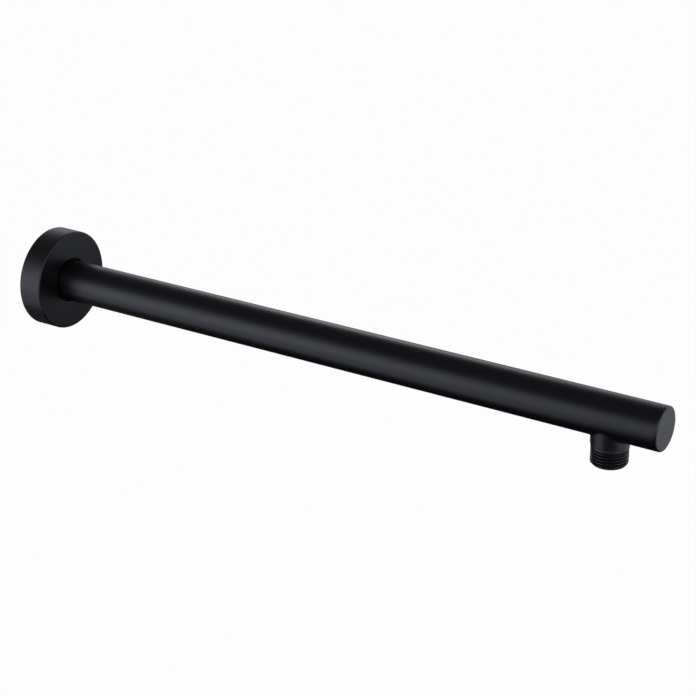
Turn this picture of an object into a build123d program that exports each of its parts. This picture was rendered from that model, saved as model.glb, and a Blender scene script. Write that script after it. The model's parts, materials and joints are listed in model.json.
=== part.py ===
from build123d import *
import os

# Wall-mounted shower arm: a straight round tube that screws into the wall at one end, is closed by
# a flat cap at the other, and carries a short threaded outlet pointing down for the shower head.
# A round cover plate slides on the tube, gripped by a rubber ring, and hides the hole in the wall.
# Millimetres. The wall is the plane X = 0, the arm points along +X and +Z is up.

# Arm tube
tube_od = 25.4
tube_wall = 1.2
reach = 390.0  # wall to the middle of the outlet
end_overhang = 31.5  # middle of the outlet to the end face
tube_deburr = 0.3

# End cap
cap_thickness = 2.5
cap_plug_depth = 4.0
cap_plug_lead = 0.4
cap_edge_chamfer = 0.8

# Half-inch pipe thread, the same at the inlet and the outlet, as a plain cylinder at its crests
thread_od = 20.955
thread_end_chamfer = 1.2

# Outlet, from the tube's underside down: plain neck, collar, groove that ends the thread, thread
outlet_neck_od = 21.8
outlet_neck_length = 3.5
outlet_collar_od = 21.2
outlet_collar_length = 1.5
outlet_relief_od = 19.4
outlet_relief_flank = 0.45
outlet_relief_flat = 0.3
outlet_thread_length = 9.6
outlet_bore = 15.0
outlet_bead = 1.0  # leg of the braze bead round the saddle

# Inlet
inlet_thread_length = 15.0
inlet_shoulder_length = 3.0
inlet_plug_depth = 12.0
inlet_bore = 14.0

# Cover plate
cover_od = 62.0
cover_depth = 15.5
cover_rim_wall = 1.5
cover_front_wall = 2.0
cover_mouth_gap = 1.3  # open ring between the tube and the plate
cover_edge_chamfer = 0.5
cover_rim_chamfer = 0.3
groove_lip = 3.0  # plate material in front of the sealing ring and behind it
hub_wall = 2.4  # hub material outside the sealing ring's groove

# Sealing ring, cut square from rubber tube
seal_section = 3.2

# Fits
braze_gap = 0.05
seal_clearance = 0.05
groove_side_play = 0.15

# Sizes that follow from the driving dimensions
tube_r = tube_od / 2
tube_bore_r = tube_r - tube_wall
arm_end = reach + end_overhang
tube_start = inlet_shoulder_length
tube_end = arm_end - cap_thickness
plug_r = tube_bore_r - braze_gap
thread_r = thread_od / 2
relief_r = outlet_relief_od / 2
neck_r = outlet_neck_od / 2
neck_bottom = -tube_r - outlet_neck_length
collar_r = outlet_collar_od / 2
collar_bottom = neck_bottom - outlet_collar_length
relief_top = collar_bottom - outlet_relief_flank
relief_bottom = relief_top - outlet_relief_flat
thread_top = relief_bottom - outlet_relief_flank
outlet_bottom = relief_bottom - outlet_thread_length
cover_r = cover_od / 2
cover_inner_r = cover_r - cover_rim_wall
cover_inner_front = cover_depth - cover_front_wall
mouth_r = tube_r + cover_mouth_gap
seal_inner_r = tube_r + seal_clearance
seal_mid_r = seal_inner_r + seal_section / 2
groove_r = seal_inner_r + seal_section + seal_clearance
groove_width = seal_section + 2 * groove_side_play
groove_front = cover_depth - groove_lip
groove_back = groove_front - groove_width
hub_back = groove_back - groove_lip
hub_r = groove_r + hub_wall

# The outlet is turned about its own vertical axis, on a section plane through the arm
outlet_axis = Axis((reach, 0, 0), (0, 0, 1))
outlet_section = Plane(origin=(reach, 0, 0), x_dir=(1, 0, 0), z_dir=(0, -1, 0))
outlet_down = Plane(origin=(reach, 0, 0), x_dir=(1, 0, 0), z_dir=(0, 0, -1))
along_arm = (0, 90, 0)


def across_outlet():
    """Where a cylinder along the arm is centred to pass over the outlet."""
    return Locations((reach, 0, 0))


# Arm tube, with the outlet's hole through its lower wall only
with BuildPart() as arm_tube:
    with BuildSketch(Plane.YZ.offset(tube_start)):
        Circle(tube_r)
        Circle(tube_bore_r, mode=Mode.SUBTRACT)
    extrude(amount=tube_end - tube_start)
    inlet_end = arm_tube.faces().sort_by(Axis.X)[0]
    chamfer(inlet_end.edges().sort_by(SortBy.LENGTH)[0], tube_deburr)
    with BuildSketch(outlet_down):
        Circle(neck_r + braze_gap)
    extrude(amount=tube_od, mode=Mode.SUBTRACT)

# End cap: a flush disc with a plug that seats in the tube's bore
with BuildPart() as end_cap:
    with BuildSketch(Plane.YZ.offset(tube_end)):
        Circle(tube_r)
    extrude(amount=cap_thickness)
    end_face = end_cap.faces().sort_by(Axis.X)[-1]
    chamfer(end_face.edges(), cap_edge_chamfer)
    with BuildSketch(Plane.YZ.offset(tube_end)):
        Circle(plug_r)
    extrude(amount=-cap_plug_depth)
    plug_end = end_cap.faces().sort_by(Axis.X)[0]
    chamfer(plug_end.edges(), cap_plug_lead)

# Outlet: plain neck, collar, thread relief and threaded end, coped to the tube it is brazed into
with BuildPart() as outlet_spigot:
    with BuildSketch(outlet_section):
        with BuildLine():
            Polyline(
                (0, 0),
                (neck_r, 0),
                (neck_r, neck_bottom),
                (collar_r, neck_bottom),
                (collar_r, collar_bottom),
                (relief_r, relief_top),
                (relief_r, relief_bottom),
                (thread_r, thread_top),
                (thread_r, outlet_bottom + thread_end_chamfer),
                (thread_r - thread_end_chamfer, outlet_bottom),
                (0, outlet_bottom),
                close=True,
            )
        make_face()
    revolve(axis=outlet_axis)
    # The tube's outline stands in while the bead is laid along the saddle, and is taken out again
    with across_outlet():
        Cylinder(tube_r, 2 * outlet_neck_od, rotation=along_arm)
    saddle = outlet_spigot.edges(Select.NEW).filter_by(lambda e: e.bounding_box().max.Z < 0)
    chamfer(saddle, outlet_bead)
    with across_outlet():
        Cylinder(tube_r, 2 * outlet_neck_od, rotation=along_arm, mode=Mode.SUBTRACT)
    with BuildSketch(outlet_down):
        Circle(neck_r)
    extrude(amount=tube_r)
    with across_outlet():
        Cylinder(tube_bore_r, 2 * outlet_neck_od, rotation=along_arm, mode=Mode.SUBTRACT)
    with BuildSketch(outlet_down):
        Circle(outlet_bore / 2)
    extrude(amount=-outlet_bottom, mode=Mode.SUBTRACT)

# Inlet: male thread behind the wall plane, shoulder at the wall, plug brazed into the tube
with BuildPart() as inlet_nipple:
    with BuildSketch(Plane.XZ):
        with BuildLine():
            Polyline(
                (-inlet_thread_length, inlet_bore / 2),
                (-inlet_thread_length, thread_r - thread_end_chamfer),
                (-inlet_thread_length + thread_end_chamfer, thread_r),
                (0, thread_r),
                (0, tube_r),
                (tube_start, tube_r),
                (tube_start, plug_r),
                (tube_start + inlet_plug_depth, plug_r),
                (tube_start + inlet_plug_depth, inlet_bore / 2),
                close=True,
            )
        make_face()
    revolve(axis=Axis.X)

# Cover plate: a hollow turned disc, open at the wall, with a hub that holds the sealing ring
with BuildPart() as cover_plate:
    with BuildSketch(Plane.XZ):
        with BuildLine():
            Polyline(
                (0, cover_inner_r),
                (0, cover_r),
                (cover_depth, cover_r),
                (cover_depth, mouth_r),
                (groove_front, mouth_r),
                (groove_front, groove_r),
                (groove_back, groove_r),
                (groove_back, mouth_r),
                (hub_back, mouth_r),
                (hub_back, hub_r),
                (cover_inner_front, hub_r),
                (cover_inner_front, cover_inner_r),
                close=True,
            )
        make_face()
    revolve(axis=Axis.X)
    rings = cover_plate.edges().filter_by(GeomType.CIRCLE)
    outer_rings = rings.group_by(SortBy.RADIUS)[-1]
    chamfer(outer_rings.sort_by(Axis.X)[-1], cover_edge_chamfer)
    chamfer(outer_rings.sort_by(Axis.X)[0], cover_rim_chamfer)

# Sealing ring that grips the tube inside the cover plate's hub
with BuildPart() as seal_ring:
    with BuildSketch(Plane.XZ):
        with Locations(((groove_front + groove_back) / 2, seal_mid_r)):
            Rectangle(seal_section, seal_section)
    revolve(axis=Axis.X)

pieces = {
    "arm_tube": arm_tube,
    "end_cap": end_cap,
    "outlet_spigot": outlet_spigot,
    "inlet_nipple": inlet_nipple,
    "cover_plate": cover_plate,
    "seal_ring": seal_ring,
}
os.makedirs("parts", exist_ok=True)
for name, piece in pieces.items():
    piece.part.label = name
    export_step(piece.part, f"parts/{name}.step")
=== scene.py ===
# %% [markdown]
# A wall-mounted shower arm: a black tube that screws into the wall, a flat cap that closes its far
# end, a threaded outlet under that end, and a round cover plate that hides the hole in the wall.
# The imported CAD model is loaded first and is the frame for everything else. Its pieces are true in
# size, but their round faces are made of few flat facets, so each one gets a finer twin here.

# %% Load the frame
import json
import math

import bmesh
import bpy
from mathutils import Matrix, Vector


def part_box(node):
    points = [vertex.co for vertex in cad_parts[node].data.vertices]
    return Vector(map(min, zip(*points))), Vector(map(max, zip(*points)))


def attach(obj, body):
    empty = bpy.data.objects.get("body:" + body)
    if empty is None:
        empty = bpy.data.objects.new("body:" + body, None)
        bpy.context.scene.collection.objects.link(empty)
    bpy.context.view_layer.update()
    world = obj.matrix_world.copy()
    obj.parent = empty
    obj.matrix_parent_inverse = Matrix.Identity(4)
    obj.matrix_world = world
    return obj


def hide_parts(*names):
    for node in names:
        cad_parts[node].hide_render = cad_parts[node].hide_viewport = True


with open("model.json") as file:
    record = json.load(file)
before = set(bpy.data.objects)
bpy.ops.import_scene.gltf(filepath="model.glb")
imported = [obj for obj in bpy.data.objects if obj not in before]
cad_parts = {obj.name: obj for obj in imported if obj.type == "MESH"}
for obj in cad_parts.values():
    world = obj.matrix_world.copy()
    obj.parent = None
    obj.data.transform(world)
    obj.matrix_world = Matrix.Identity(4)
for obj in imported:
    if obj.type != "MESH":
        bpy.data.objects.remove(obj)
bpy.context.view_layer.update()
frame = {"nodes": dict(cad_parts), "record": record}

# %% [markdown]
# The sizes that the CAD model fixes are read from it and not typed again: how far a node reaches
# from the arm's axis, where it starts and ends along the arm, and the thread that its mounts name.
# A twin made from these follows the CAD model when that changes.

# %% Sizes read from the frame
MM = 0.001


def widest(node):
    """How far a CAD node reaches from the arm's axis."""
    return max(math.hypot(v.co.y, v.co.z) for v in frame["nodes"][node].data.vertices)


def along(node):
    """Where a CAD node starts and ends along the arm."""
    low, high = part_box(node)
    return low.x, high.x


mounts = {mount["name"]: mount for mount in frame["record"]["mounts"]}
thread_r = mounts["outlet_thread"]["dims"]["r_mm"] * MM
outlet_x = mounts["outlet_thread"]["pos_m"][0]
outlet_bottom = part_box("outlet_spigot")[0].z
tube_r = widest("arm_tube")
tube_start, tube_end = along("arm_tube")
arm_end = along("end_cap")[1]
print(f"tube radius {tube_r:.4f} m, from {tube_start:.4f} to {tube_end:.4f}, outlet at {outlet_x:.3f}")

# %% [markdown]
# Every piece of this arm was turned on a lathe or drawn as a tube, so a lathe is the tool here too:
# an outline of a few points is spun round an axis. A cylinder from the Add menu would be quicker for
# the tube alone, but one lathe makes all six pieces. A full spin closes on its own start when it
# merges, and the poles of a solid disc are welded afterwards. Where a corner will be rounded, the
# outline also gets a point on each side of it, so that smooth shading stays flat up to the corner.
# A run that is too short for two such points is left as it is.

# %% The lathe
TURN_STEPS = 192
LONG_RUN = 2.5
WELD = 1e-7
ARM_AXIS = Vector((1, 0, 0))
UP = Vector((0, 0, 1))
ORIGIN = Vector((0, 0, 0))
OUTLET_TOP = Vector((outlet_x, 0, 0))


def outline(points, closed=True):
    """A bmesh with one line of edges through these points."""
    bm = bmesh.new()
    verts = [bm.verts.new(point) for point in points]
    ends = verts[1:] + verts[:1] if closed else verts[1:]
    for start, end in zip(verts, ends):
        bm.edges.new((start, end))
    return bm


def held(points, hold, closed=True):
    """The same outline, with a point on each side of every corner of its long runs."""
    out = []
    ends = points[1:] + points[:1] if closed else points[1:]
    for start, end in zip(points, ends):
        run = end - start
        out.append(start)
        if run.length > LONG_RUN * hold:
            out += [start + run * (hold / run.length), end - run * (hold / run.length)]
    return out if closed else out + [points[-1]]


def turn(bm, centre, axis):
    """Spin the outline once round the axis, with no open seam or pole."""
    line = list(bm.verts) + list(bm.edges)
    bmesh.ops.spin(
        bm, geom=line, cent=centre, axis=axis, angle=math.tau, steps=TURN_STEPS, use_merge=True
    )
    bmesh.ops.remove_doubles(bm, verts=bm.verts, dist=WELD)
    bmesh.ops.recalc_face_normals(bm, faces=bm.faces)
    return bm


def at(x, radius):
    """A point of an outline that is spun round the arm's axis."""
    return Vector((x, 0, radius))


def down(z, radius):
    """A point of an outline that is spun round the outlet's axis."""
    return Vector((outlet_x + radius, 0, z))


# %% [markdown]
# No edge of a coated part is knife sharp: the edge is broken before coating and the coat rounds it
# further. The rounding catches a thin line of light or dark that tells the eye where a face ends.
# The bevel operator rounds a ring of edges that is found by its place along the arm and its radius.

# %% Rounded edges
SAME = 1e-6
EDGE_SEGMENTS = 5
ROUND_PROFILE = 0.5
KEEP_MATERIAL = -1


def round_ring(bm, x, radius, size):
    """Round the circular edge at this place along the arm."""
    def on_ring(vert):
        off_axis = math.hypot(vert.co.y, vert.co.z)
        return math.isclose(vert.co.x, x, abs_tol=SAME) and math.isclose(off_axis, radius, abs_tol=SAME)

    ring = [edge for edge in bm.edges if all(on_ring(vert) for vert in edge.verts)]
    bmesh.ops.bevel(
        bm, geom=ring, offset=size, offset_type="OFFSET", affect="EDGES",
        segments=EDGE_SEGMENTS, profile=ROUND_PROFILE, material=KEEP_MATERIAL,
    )


# %% [markdown]
# A shader is a graph of nodes, and a formula is easier to read than a graph. This small class wraps
# one output of a node: adding, subtracting or multiplying makes the Math node that does it, and any
# other node comes from one method. The settings are set first, because some of them change sockets.

# %% Shader maths as plain expressions
class Wire:
    """One output of a shader node."""

    def __init__(self, tree, socket=None):
        self.tree = tree
        self.socket = socket

    def node(self, kind, settings=None, inputs=None, output=0):
        """Add a node, set it, join its inputs, and return one of its outputs."""
        added = self.tree.nodes.new(kind)
        for name, value in (settings or {}).items():
            setattr(added, name, value)
        for place, value in (inputs or {}).items():
            if isinstance(value, Wire):
                self.tree.links.new(value.socket, added.inputs[place])
            else:
                added.inputs[place].default_value = value
        return Wire(self.tree, added.outputs[output] if added.outputs else None)

    def maths(self, operation, *values):
        """The result of a Math node with these inputs."""
        return self.node("ShaderNodeMath", {"operation": operation}, dict(enumerate(values)))

    def __add__(self, other):
        return self.maths("ADD", self, other)

    def __radd__(self, other):
        return self.maths("ADD", other, self)

    def __sub__(self, other):
        return self.maths("SUBTRACT", self, other)

    def __mul__(self, other):
        return self.maths("MULTIPLY", self, other)


NOISE_MIDDLE = 0.5
MIX_AMOUNT, MIX_LOW, MIX_HIGH, MIX_COLOUR = 0, 6, 7, 2


def new_material(name):
    """An empty material and a wire to start its nodes from."""
    material = bpy.data.materials.new(name)
    material.use_nodes = True
    material.node_tree.nodes.clear()
    return material, Wire(material.node_tree)


def noise(wire, coords, size, detail):
    """Cloudy noise whose lumps are about this size, in metres."""
    return wire.node(
        "ShaderNodeTexNoise", None, {"Vector": coords, "Scale": 1.0 / size, "Detail": detail}, "Fac"
    )


def between(wire, amount, low, high):
    """A colour between two colours. The Mix node has its colour sockets at fixed numbers."""
    return wire.node(
        "ShaderNodeMix", {"data_type": "RGBA"},
        {MIX_AMOUNT: amount, MIX_LOW: (*low, 1), MIX_HIGH: (*high, 1)}, MIX_COLOUR,
    )


def bump(wire, height, depth):
    """Normals of a surface with this relief, its full height given in metres."""
    return wire.node(
        "ShaderNodeBump", None, {"Strength": 1.0, "Distance": depth, "Height": height}, "Normal"
    )


def finish_with(wire, surface):
    """Join the surface to the material's output."""
    wire.node("ShaderNodeOutputMaterial", None, {"Surface": surface})


# %% [markdown]
# The coat is a black powder paint, baked to a satin film. It is almost black, a little blue, and
# most of what is seen on it is reflected light, so its roughness matters more than its colour. The
# film has a faint orange peel of about a millimetre and a finer grain, which break its reflections
# up close, and its gloss is a little uneven. All three are noise in Object coordinates, which runs
# on over edges without a seam and needs no unwrapping.

# %% The black coat
COAT_DARK = (0.0040, 0.0041, 0.0056)
COAT_LIGHT = (0.0064, 0.0066, 0.0086)
COAT_TINT = (0.90, 0.93, 1.0)
COAT_ROUGHNESS = 0.37
COAT_UNEVEN = 0.05
CLOUD_SIZE = 14 * MM
CLOUD_DETAIL = 3.0
PEEL_SIZE = 0.9 * MM
PEEL_DETAIL = 2.0
PEEL_HEIGHT = 0.006 * MM
GRAIN_SIZE = 0.16 * MM
GRAIN_DETAIL = 1.0
GRAIN_SHARE = 0.2

coat, wire = new_material("black_powder_coat")
coords = wire.node("ShaderNodeTexCoord", output="Object")
cloud = noise(wire, coords, CLOUD_SIZE, CLOUD_DETAIL)
peel = noise(wire, coords, PEEL_SIZE, PEEL_DETAIL)
peel += noise(wire, coords, GRAIN_SIZE, GRAIN_DETAIL) * GRAIN_SHARE
finish_with(wire, wire.node("ShaderNodeBsdfPrincipled", None, {
    "Base Color": between(wire, cloud, COAT_DARK, COAT_LIGHT),
    "Roughness": COAT_ROUGHNESS + (cloud - NOISE_MIDDLE) * COAT_UNEVEN,
    "Specular Tint": (*COAT_TINT, 1),
    "Normal": bump(wire, peel, PEEL_HEIGHT),
}))
print("made", coat.name, "with", len(coat.node_tree.nodes), "nodes")

# %% [markdown]
# Inside, the waterway is bare metal, because the paint gun doesn't reach in. It is dull steel with a
# fine mottle, and it shows only when one looks into the outlet or the inlet.

# %% Bare metal of the waterway
STEEL_DARK = (0.36, 0.35, 0.33)
STEEL_LIGHT = (0.50, 0.49, 0.46)
STEEL_ROUGHNESS = 0.3
STEEL_UNEVEN = 0.25
MOTTLE_SIZE = 0.5 * MM
MOTTLE_DETAIL = 4.0

steel, wire = new_material("bare_steel")
mottle = noise(wire, wire.node("ShaderNodeTexCoord", output="Object"), MOTTLE_SIZE, MOTTLE_DETAIL)
finish_with(wire, wire.node("ShaderNodeBsdfPrincipled", None, {
    "Base Color": between(wire, mottle, STEEL_DARK, STEEL_LIGHT),
    "Metallic": 1.0,
    "Roughness": STEEL_ROUGHNESS + mottle * STEEL_UNEVEN,
}))
print("made", steel.name)

# %% [markdown]
# The sealing ring is plain black rubber, cut from a moulded tube. Rubber is much duller than the
# coat, with a fine grain, so the open ring round the tube stays the darkest place of the arm.

# %% Rubber of the sealing ring
RUBBER_DARK = (0.008, 0.008, 0.008)
RUBBER_LIGHT = (0.016, 0.016, 0.016)
RUBBER_ROUGHNESS = 0.7
RUBBER_UNEVEN = 0.1
RUBBER_GRAIN = 0.2 * MM
RUBBER_DETAIL = 3.0
RUBBER_HEIGHT = 0.01 * MM

rubber, wire = new_material("seal_rubber")
grain = noise(wire, wire.node("ShaderNodeTexCoord", output="Object"), RUBBER_GRAIN, RUBBER_DETAIL)
finish_with(wire, wire.node("ShaderNodeBsdfPrincipled", None, {
    "Base Color": between(wire, grain, RUBBER_DARK, RUBBER_LIGHT),
    "Roughness": RUBBER_ROUGHNESS + grain * RUBBER_UNEVEN,
    "Normal": bump(wire, grain, RUBBER_HEIGHT),
}))
print("made", rubber.name)

# %% [markdown]
# A finished mesh is handed over to the frame in one way: it becomes an object at the origin, is
# shaded smooth except over sharp corners, gets its finishes, rides on its body, and stands for its
# CAD node, which is then hidden. The faces of a bore are set to the second of its finishes. A closed
# mesh has no open edges, and their number is printed for each piece.

# %% Hand a finished mesh over to the frame
SMOOTH_UP_TO = math.radians(32)
SECOND_FINISH = 1


def new_object(name, bm, finishes):
    """An object at the origin, made from this bmesh."""
    mesh = bpy.data.meshes.new(name)
    bm.to_mesh(mesh)
    bm.free()
    mesh.shade_smooth()
    mesh.set_sharp_from_angle(angle=SMOOTH_UP_TO)
    for finish in finishes:
        mesh.materials.append(finish)
    made = bpy.data.objects.new(name, mesh)
    bpy.context.scene.collection.objects.link(made)
    return made


def hand_over(name, bm, node, body, finishes):
    """Let the mesh stand for its CAD node and ride on its body."""
    open_edges = sum(not edge.is_manifold for edge in bm.edges)
    piece = new_object(name, bm, finishes)
    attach(piece, body)
    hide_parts(node)
    print(f"{name}: {len(piece.data.polygons)} faces on {body}, {open_edges} open edges")


def bare_bore(bm, radius, centre, axis):
    """Give the second finish to the faces that lie within this radius of an axis."""
    for face in bm.faces:
        off = face.calc_center_median() - centre
        if (off - off.project(axis)).length < radius:
            face.material_index = SECOND_FINISH


# %% [markdown]
# The tube is drawn steel with a thin wall. Its lower side has a hole for the outlet, which shows
# when one looks up into the outlet. A Boolean drills it, because a round hole through a round wall
# has a saddle-shaped edge. The outline has a ring on each side of the hole, so that the long faces
# of the tube are not cut into slivers by it, and the drill is turned by half a step, so that none of
# its corners lies on an edge of the tube, which would leave stray faces.

# %% Tube
TUBE_WALL = 1.2 * MM
TUBE_DEBURR = 0.3 * MM
HOLE_SIDE = 14 * MM
NECK_R = 10.9 * MM
BRAZE_GAP = 0.05 * MM
HALF_STEP = math.pi / TURN_STEPS
tube_bore_r = tube_r - TUBE_WALL
drill_r = NECK_R + BRAZE_GAP

bm = turn(outline([
    at(tube_start, tube_r),
    at(outlet_x - HOLE_SIDE, tube_r),
    at(outlet_x + HOLE_SIDE, tube_r),
    at(tube_end, tube_r),
    at(tube_end, tube_bore_r),
    at(outlet_x + HOLE_SIDE, tube_bore_r),
    at(outlet_x - HOLE_SIDE, tube_bore_r),
    at(tube_start + TUBE_DEBURR, tube_bore_r),
    at(tube_start, tube_bore_r + TUBE_DEBURR),
]), ORIGIN, ARM_AXIS)
bare_bore(bm, tube_bore_r + TUBE_DEBURR, ORIGIN, ARM_AXIS)
blank = new_object("tube_blank", bm, [coat, steel])

drill_bm = bmesh.new()
bmesh.ops.create_cone(
    drill_bm, cap_ends=True, segments=TURN_STEPS, radius1=drill_r, radius2=drill_r, depth=2 * tube_r,
    matrix=Matrix.Translation((outlet_x, 0, -tube_r)) @ Matrix.Rotation(HALF_STEP, 4, "Z"),
)
drill = new_object("drill", drill_bm, [])
hole = blank.modifiers.new("outlet_hole", "BOOLEAN")
hole.object = drill
hole.solver = "EXACT"
drilled = blank.evaluated_get(bpy.context.evaluated_depsgraph_get())
bm = bmesh.new()
bm.from_mesh(drilled.to_mesh())
drilled.to_mesh_clear()
bpy.data.objects.remove(blank)
bpy.data.objects.remove(drill)
hand_over("drawn_tube", bm, "arm_tube", "arm", [coat, steel])

# %% [markdown]
# The cap is a disc with a plug that seats in the tube's end, brazed and ground flush. Its rim is
# rounded, which softens the step from the tube's side to the end face.

# %% Cap
CAP_PLUG_DEPTH = 4 * MM
CAP_PLUG_LEAD = 0.4 * MM
CAP_EDGE = 1.1 * MM
CAP_HOLD = 1.2 * MM
plug_r = tube_bore_r - BRAZE_GAP

cap_points = [
    at(tube_end - CAP_PLUG_DEPTH, 0),
    at(tube_end - CAP_PLUG_DEPTH, plug_r - CAP_PLUG_LEAD),
    at(tube_end - CAP_PLUG_DEPTH + CAP_PLUG_LEAD, plug_r),
    at(tube_end, plug_r),
    at(tube_end, tube_r),
    at(arm_end, tube_r),
    at(arm_end, 0),
]
bm = turn(outline(held(cap_points, CAP_HOLD, closed=False), closed=False), ORIGIN, ARM_AXIS)
round_ring(bm, arm_end, tube_r, CAP_EDGE)
hand_over("closing_cap", bm, "end_cap", "arm", [coat])

# %% [markdown]
# Both threads are half-inch pipe threads with 14 turns an inch and flanks at 55 degrees. The CAD
# model keeps them as plain cylinders, and the groove is pressed into the fine twin here: the turned
# rows of vertices move in by a depth that depends on the place along the axis and on the angle, so
# the rows become a right-hand helix. A screw modifier could sweep one tooth instead, but its ends
# would have to be joined to the body by hand. The coat fills the thread a little, so its crests are
# flat and wide and its roots narrow. Near its inner end the groove runs out within one turn.

# %% Thread
INCH = 25.4 * MM
TURNS_PER_INCH = 14
PITCH = INCH / TURNS_PER_INCH
FLANK_HALF_ANGLE = math.radians(27.5)
FLANK_RUN = math.tan(FLANK_HALF_ANGLE)
THREAD_DEPTH = 1.1 * MM
CREST_WIDTH = 0.5 * MM
THREAD_ROWS = 24


def thread_depth(place):
    """Depth of the groove below the crests, for a place along the thread measured from a crest."""
    off_crest = abs((place / PITCH + 0.5) % 1.0 - 0.5) * PITCH
    return min(THREAD_DEPTH, max(0.0, off_crest - CREST_WIDTH / 2) / FLANK_RUN)


def fine_rows(bm, points, first, last):
    """Cut an outline, from one of its points to another, into rows fine enough for the thread."""
    bm.edges.ensure_lookup_table()
    for edge in bm.edges[points.index(first):points.index(last)]:
        rows = round(edge.calc_length() / PITCH * THREAD_ROWS)
        bmesh.ops.subdivide_edges(bm, edges=[edge], cuts=rows - 1)


def cut_thread(bm, centre, axis, side, crest, runout, least):
    """Press the groove into what lies below the run-out and outside the least radius."""
    across = axis.cross(side)
    for vert in bm.verts:
        off = vert.co - centre
        place = off.dot(axis)
        spoke = off - axis * place
        if place < runout and spoke.length > least:
            angle = math.atan2(spoke.dot(across), spoke.dot(side))
            depth = thread_depth(place - crest - PITCH * angle / math.tau)
            depth *= min(1.0, (runout - place) / PITCH)
            vert.co -= spoke * max(0.0, 1 - (thread_r - depth) / spoke.length)


print(f"thread pitch {PITCH / MM:.3f} mm, groove {THREAD_DEPTH / MM:.2f} mm deep")

# %% [markdown]
# The outlet is the piece with the most work in it. It is a turned stub that is coped to fit the
# tube's round underside, pushed through the hole and brazed, and the braze leaves a small hollow
# bead all round the saddle. Below the neck come a collar that widens a little downwards and so
# catches the light, a groove that ends the thread, and the thread itself. The outline is turned about
# the outlet's own axis first. Each point that belongs to the saddle carries a number in a custom
# layer, which the spin copies to its whole ring.

# %% Outlet, turned
OUTLET_BORE_R = 7.5 * MM
NECK_LENGTH = 3.5 * MM
NECK_EDGE = 0.5 * MM
NECK_HOLD = 0.1 * MM
WAIST_R = 10.45 * MM
COLLAR_R = 10.6 * MM
COLLAR_LENGTH = 1.5 * MM
RELIEF_R = 9.7 * MM
RELIEF_FLANK = 0.45 * MM
RELIEF_FLAT = 0.3 * MM
THREAD_CHAMFER = 1.2 * MM
MOUTH_LEAD = 0.3 * MM
BEAD_STEPS = 6
BEAD_ROW = 0.1 * MM
BORE_RING, STUB_RING, BEAD_RING = 1, 2, 10
neck_bottom = -tube_r - NECK_LENGTH
collar_bottom = neck_bottom - COLLAR_LENGTH
relief_top = collar_bottom - RELIEF_FLANK
relief_bottom = relief_top - RELIEF_FLAT
thread_top = down(relief_bottom, RELIEF_R)
thread_end = down(outlet_bottom, thread_r - THREAD_CHAMFER)

outlet_points = [
    down(0, OUTLET_BORE_R),
    down(0, NECK_R),
    *[down(-BEAD_ROW * (step + 1), NECK_R) for step in range(BEAD_STEPS + 1)],
    down(neck_bottom + NECK_EDGE + NECK_HOLD, NECK_R),
    down(neck_bottom + NECK_EDGE, NECK_R),
    down(neck_bottom, WAIST_R),
    down(collar_bottom, COLLAR_R),
    down(relief_top, RELIEF_R),
    thread_top,
    down(relief_bottom - RELIEF_FLANK, thread_r),
    down(outlet_bottom + THREAD_CHAMFER, thread_r),
    thread_end,
    down(outlet_bottom, OUTLET_BORE_R + MOUTH_LEAD),
    down(outlet_bottom + MOUTH_LEAD, OUTLET_BORE_R),
]
bm = outline(outlet_points)
ring = bm.verts.layers.int.new("ring")
tags = [BORE_RING, STUB_RING] + [BEAD_RING + step for step in range(BEAD_STEPS + 1)]
for vert, tag in zip(bm.verts, tags):
    vert[ring] = tag
fine_rows(bm, outlet_points, thread_top, thread_end)
turn(bm, OUTLET_TOP, UP)
print(f"outlet turned, {len(bm.faces)} faces")

# %% [markdown]
# Now the upper rings are laid on the tube. The ends of the stub follow the tube's bore, and the bead
# follows its underside: at every angle it runs from a toe on the tube to a foot on the neck, along a
# hollow curve whose middle point is the corner between the two. The thread is cut last. The height at
# which a crest of it faces the camera is read from the photo, and that sets where the helix starts.

# %% Outlet, coped, brazed and threaded
BEAD = 1.0 * MM
BEAD_SUNK = 0.02 * MM
CREST_Z = -18.95 * MM
VIEW_AZIMUTH = math.radians(32.619)
camera_side = Vector((math.sin(VIEW_AZIMUTH), -math.cos(VIEW_AZIMUTH), 0))


def tube_under(radius, y):
    """Height of the lower side of a tube of this radius, beside the arm's axis."""
    return -math.sqrt(radius**2 - y**2)


ring = bm.verts.layers.int["ring"]
for vert in bm.verts:
    tag = vert[ring]
    if tag in (BORE_RING, STUB_RING):
        vert.co.z = tube_under(tube_bore_r, vert.co.y)
    elif tag >= BEAD_RING:
        spoke = Vector((vert.co.x - outlet_x, vert.co.y, 0)).normalized()
        corner = Vector((NECK_R, tube_under(tube_r - BEAD_SUNK, NECK_R * spoke.y)))
        slope = NECK_R * spoke.y**2 / -corner.y
        toe_r = NECK_R + BEAD / math.hypot(1, slope)
        toe = Vector((toe_r, tube_under(tube_r - BEAD_SUNK, toe_r * spoke.y)))
        foot = corner - Vector((0, BEAD))
        share = (tag - BEAD_RING) / BEAD_STEPS
        curve = toe * (1 - share)**2 + corner * (2 * share * (1 - share)) + foot * share**2
        vert.co = OUTLET_TOP + spoke * curve.x + UP * curve.y
cut_thread(bm, OUTLET_TOP, UP, camera_side, CREST_Z, relief_bottom, OUTLET_BORE_R + 2 * MOUTH_LEAD)
bmesh.ops.recalc_face_normals(bm, faces=bm.faces)
bare_bore(bm, OUTLET_BORE_R + MOUTH_LEAD / 2, OUTLET_TOP, UP)
hand_over("brazed_outlet", bm, "outlet_spigot", "arm", [coat, steel])

# %% [markdown]
# The inlet isn't seen in the photo: it lies behind the wall plane, where the arm screws into the
# elbow in the wall. It is a turned nipple with the same thread, a shoulder as wide as the tube that
# stops at the elbow, and a plug that is brazed into the tube. Its thread runs out just short of the
# shoulder, so that the shoulder itself isn't pressed in.

# %% Inlet
INLET_BORE_R = 7 * MM
inlet_start, inlet_end = along("inlet_nipple")
inlet_tip = at(inlet_start, thread_r - THREAD_CHAMFER)
shoulder_foot = at(0, thread_r)

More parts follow.
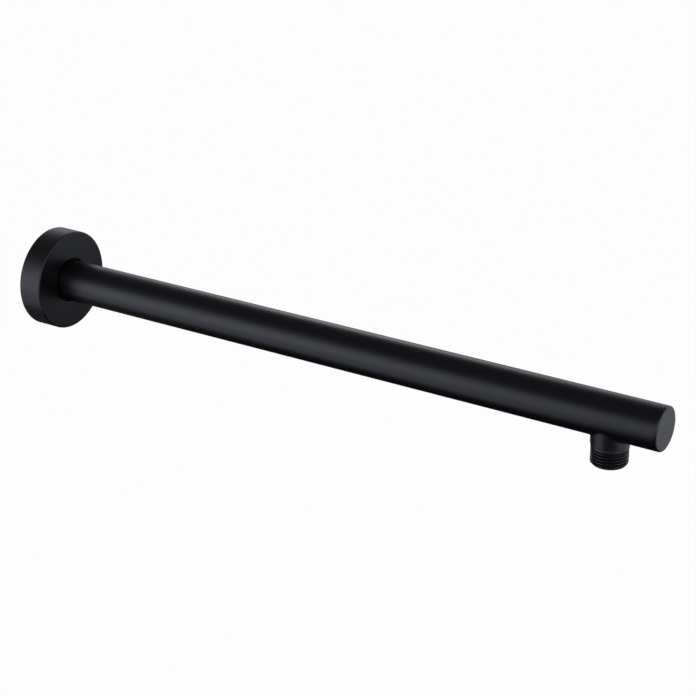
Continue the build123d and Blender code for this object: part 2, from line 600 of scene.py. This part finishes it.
inlet_points = [
    at(inlet_start, INLET_BORE_R),
    inlet_tip,
    at(inlet_start + THREAD_CHAMFER, thread_r),
    shoulder_foot,
    at(0, tube_r),
    at(tube_start, tube_r),
    at(tube_start, plug_r),
    at(inlet_end, plug_r),
    at(inlet_end, INLET_BORE_R),
]
bm = outline(inlet_points)
fine_rows(bm, inlet_points, inlet_tip, shoulder_foot)
turn(bm, ORIGIN, ARM_AXIS)
cut_thread(bm, ORIGIN, ARM_AXIS, UP, 0, -SAME, INLET_BORE_R + MOUTH_LEAD)
bmesh.ops.recalc_face_normals(bm, faces=bm.faces)
bare_bore(bm, INLET_BORE_R + MOUTH_LEAD / 2, ORIGIN, ARM_AXIS)
hand_over("threaded_inlet", bm, "inlet_nipple", "arm", [coat, steel])

# %% [markdown]
# The cover plate is a hollow disc, open towards the wall so that it goes over the elbow's collar. Its
# hub has a groove for the sealing ring, and its mouth is a little wider than the tube, which leaves
# the dark open ring that the photo shows. One outline holds all of it, and three of its rings are
# rounded: the front edge, the mouth and the edge at the wall.

# %% Cover plate
RIM_WALL = 1.5 * MM
FRONT_WALL = 2 * MM
MOUTH_GAP = 1.3 * MM
HUB_WALL = 2.4 * MM
GROOVE_LIP = 3 * MM
GROOVE_PLAY = 0.15 * MM
SEAL_GAP = 0.05 * MM
PLATE_EDGE = 0.85 * MM
PLATE_HOLD = 0.95 * MM
SMALL_EDGE = 0.3 * MM
cover_r = widest("cover_plate")
cover_back, cover_front = along("cover_plate")
seal_back, seal_front = along("seal_ring")
seal_outer = widest("seal_ring")
mouth_r = tube_r + MOUTH_GAP
groove_r = seal_outer + SEAL_GAP
groove_front = seal_front + GROOVE_PLAY
groove_back = seal_back - GROOVE_PLAY
hub_back = groove_back - GROOVE_LIP
hub_r = groove_r + HUB_WALL

bm = turn(outline(held([
    at(cover_back, cover_r - RIM_WALL),
    at(cover_back, cover_r),
    at(cover_front, cover_r),
    at(cover_front, mouth_r),
    at(groove_front, mouth_r),
    at(groove_front, groove_r),
    at(groove_back, groove_r),
    at(groove_back, mouth_r),
    at(hub_back, mouth_r),
    at(hub_back, hub_r),
    at(cover_front - FRONT_WALL, hub_r),
    at(cover_front - FRONT_WALL, cover_r - RIM_WALL),
], PLATE_HOLD)), ORIGIN, ARM_AXIS)
round_ring(bm, cover_front, cover_r, PLATE_EDGE)
round_ring(bm, cover_front, mouth_r, SMALL_EDGE)
round_ring(bm, cover_back, cover_r, SMALL_EDGE)
hand_over("wall_cover", bm, "cover_plate", "cover", [coat])

# %% [markdown]
# The sealing ring sits in the hub's groove and grips the tube, so that the plate stays where it is
# pushed. It is square in section, cut from rubber tube, with its four corners worn round.

# %% Sealing ring
SEAL_EDGE = 0.5 * MM
seal_inner = tube_r + SEAL_GAP

bm = turn(outline([
    at(seal_back, seal_inner),
    at(seal_back, seal_outer),
    at(seal_front, seal_outer),
    at(seal_front, seal_inner),
]), ORIGIN, ARM_AXIS)
for x in (seal_back, seal_front):
    for radius in (seal_inner, seal_outer):
        round_ring(bm, x, radius, SEAL_EDGE)
hand_over("rubber_seal", bm, "seal_ring", "seal", [rubber])

# %% [markdown]
# The camera stands to the right of the arm and above it, a little over a metre away, and looks down
# along the arm towards the wall. Its place was found by fitting the tube's edges, the plate's two
# rings, the end face and the outlet to the photo. The lens is long, as in a product photo, and the
# picture is centred on the target, so it needs no shift.

# %% Camera
VIEW_ELEVATION = math.radians(23.096)
VIEW_DISTANCE = 1.116679
VIEW_TARGET = Vector((0.222486, 0, 0.000829))
LENS = 99.98

towards_camera = camera_side * math.cos(VIEW_ELEVATION) + UP * math.sin(VIEW_ELEVATION)
camera_data = bpy.data.cameras.new("photo_view")
camera_data.lens = LENS
camera = bpy.data.objects.new("photo_view", camera_data)
camera.location = VIEW_TARGET + towards_camera * VIEW_DISTANCE
camera.rotation_euler = towards_camera.to_track_quat("Z", "Y").to_euler()
bpy.context.scene.collection.objects.link(camera)
bpy.context.scene.camera = camera
print("camera at", [round(value, 3) for value in camera.location])

# %% [markdown]
# The photo is a cut-out on plain white. The stage is a round white sweep: a floor that bends up into
# a wall all round, spun from one outline like the pieces of the arm. The camera sees it glow white.
# Reflections see a slightly cooler white, like those in the photo. Other rays see plain white paint,
# which takes the light and the shadow of the arm. Above the wall the room is dark, and that gives the
# dark band along the top of the tube.

# %% White sweep
FLOOR_Z = -0.75
SWEEP_R = 3.2
SWEEP_TOP = 1.9
SWEEP_BEND = 0.8
BEND_STEPS = 6
PAINT_WHITE = 0.8
GLOW_SHARE = 0.98
GLOW_COOL = (0.88, 0.90, 1.0)
GLOW_WHITE = (1.0, 1.0, 1.0)
GLOWS_FOR = ("Camera", "Glossy", "Transmission")
FIRST_SHADER, SECOND_SHADER = 1, 2


def neutral(level):
    """A colour without a tint."""
    return (level, level, level, 1)


white, wire = new_material("white_sweep")
seen = sum(wire.node("ShaderNodeLightPath", output=f"Is {kind} Ray") for kind in GLOWS_FOR)
direct = wire.node("ShaderNodeLightPath", output="Is Camera Ray")
tint = between(wire, direct, GLOW_COOL, GLOW_WHITE)
glow = wire.node("ShaderNodeEmission", None, {"Color": tint})
paint = wire.node("ShaderNodeBsdfDiffuse", None, {"Color": neutral(PAINT_WHITE)})
finish_with(wire, wire.node("ShaderNodeMixShader", None, {
    MIX_AMOUNT: seen * GLOW_SHARE, FIRST_SHADER: paint, SECOND_SHADER: glow,
}))

bend_at = Vector((SWEEP_R - SWEEP_BEND, 0, FLOOR_Z + SWEEP_BEND))
bend = [math.radians(90) * step / BEND_STEPS for step in range(BEND_STEPS + 1)]
bm = turn(outline(
    [Vector((0, 0, FLOOR_Z))]
    + [bend_at + SWEEP_BEND * Vector((math.sin(angle), 0, -math.cos(angle))) for angle in bend]
    + [Vector((SWEEP_R, 0, SWEEP_TOP))],
    closed=False,
), ORIGIN, UP)
new_object("white_sweep", bm, [white])
print(f"sweep {2 * SWEEP_R:.1f} m across")

# %% [markdown]
# A glossy black thing in an all-white room looks grey and flat. Photographers lay dark cards just
# outside the picture, so that parts of the thing reflect dark and its form shows. Here black ones lie
# under the arm and at the camera's side, one more stands at the back, and dark grey ones lie behind
# the arm and out past the plate. Each row is a card's two corners and its brightness. The cards are
# seen in reflections only, so they cast no shadow and stay out of the picture.

# %% Dark cards
CARD_Z = -0.25
CARD_THICK = 0.002
CARDS = {
    "card_under": ((-0.08, -0.17, CARD_Z), (0.56, 0.2, CARD_Z), 0.01),
    "card_left": ((-2.0, -0.17, CARD_Z), (-0.08, 0.2, CARD_Z), 0.06),
    "card_back": ((-2.0, 0.2, CARD_Z), (0.56, 2.2, CARD_Z), 0.12),
    "card_front": ((0.25, -1.0, CARD_Z), (1.1, -0.17, CARD_Z), 0.01),
    "card_stand": ((-3.0, 1.2, -0.6), (-0.15, 1.2, 0.02), 0.01),
}


def card(name, low, high, level):
    """A flat card between two corners, seen in reflections only."""
    finish, wire = new_material(name)
    finish_with(wire, wire.node("ShaderNodeEmission", None, {"Color": neutral(level)}))
    low, high = Vector(low), Vector(high)
    thick = Vector((CARD_THICK, CARD_THICK, CARD_THICK))
    bm = bmesh.new()
    bmesh.ops.create_cube(bm, size=1)
    bmesh.ops.scale(bm, vec=high - low + thick, verts=bm.verts)
    bmesh.ops.translate(bm, vec=(low + high) / 2, verts=bm.verts)
    made = new_object(name, bm, [finish])
    made.visible_camera = False
    made.visible_diffuse = False
    made.visible_transmission = False
    made.visible_shadow = False


for name, row in CARDS.items():
    card(name, *row)
print("cards", ", ".join(CARDS))

# %% [markdown]
# Three soft boxes light the arm. The large one at the front left, level with the arm, makes the long
# soft band along the tube. One beside the camera on the right lights the plate's face and the edges
# that face it. A small one at the back, above the horizon, lifts the top of the tube. Each row is a
# box's place, what it is aimed at, its two sides and its brightness, and a lamp's power follows from
# its brightness and its area. The room itself gives only a little light, so that the ceiling stays
# dark in the reflections.

# %% Lights
ROOM = 0.11
SOFTBOXES = {
    "front_left": ((-0.85, -1.34, 0.0), (0.2, 0, 0), (1.0, 1.0), 0.96),
    "camera_right": ((1.03, -0.78, 0.59), (0.1, 0, 0), (0.9, 0.7), 1.4),
    "back": ((-0.62, 1.42, 0.66), (0.3, 0, 0), (0.5, 0.45), 1.45),
}


def softbox(name, place, target, size, radiance):
    """A rectangular lamp with this brightness, aimed at the target."""
    data = bpy.data.lights.new(name, "AREA")
    data.shape = "RECTANGLE"
    data.size, data.size_y = size
    data.energy = radiance * math.pi * size[0] * size[1]
    lamp = bpy.data.objects.new(name, data)
    lamp.location = place
    lamp.rotation_euler = (Vector(place) - Vector(target)).to_track_quat("Z", "Y").to_euler()
    bpy.context.scene.collection.objects.link(lamp)


for name, row in SOFTBOXES.items():
    softbox(name, *row)
world = bpy.data.worlds.new("dark_room")
world.use_nodes = True
world.node_tree.nodes["Background"].inputs["Color"].default_value = neutral(ROOM)
bpy.context.scene.world = world
bpy.context.scene.view_settings.view_transform = "Standard"
print("lights", ", ".join(SOFTBOXES))
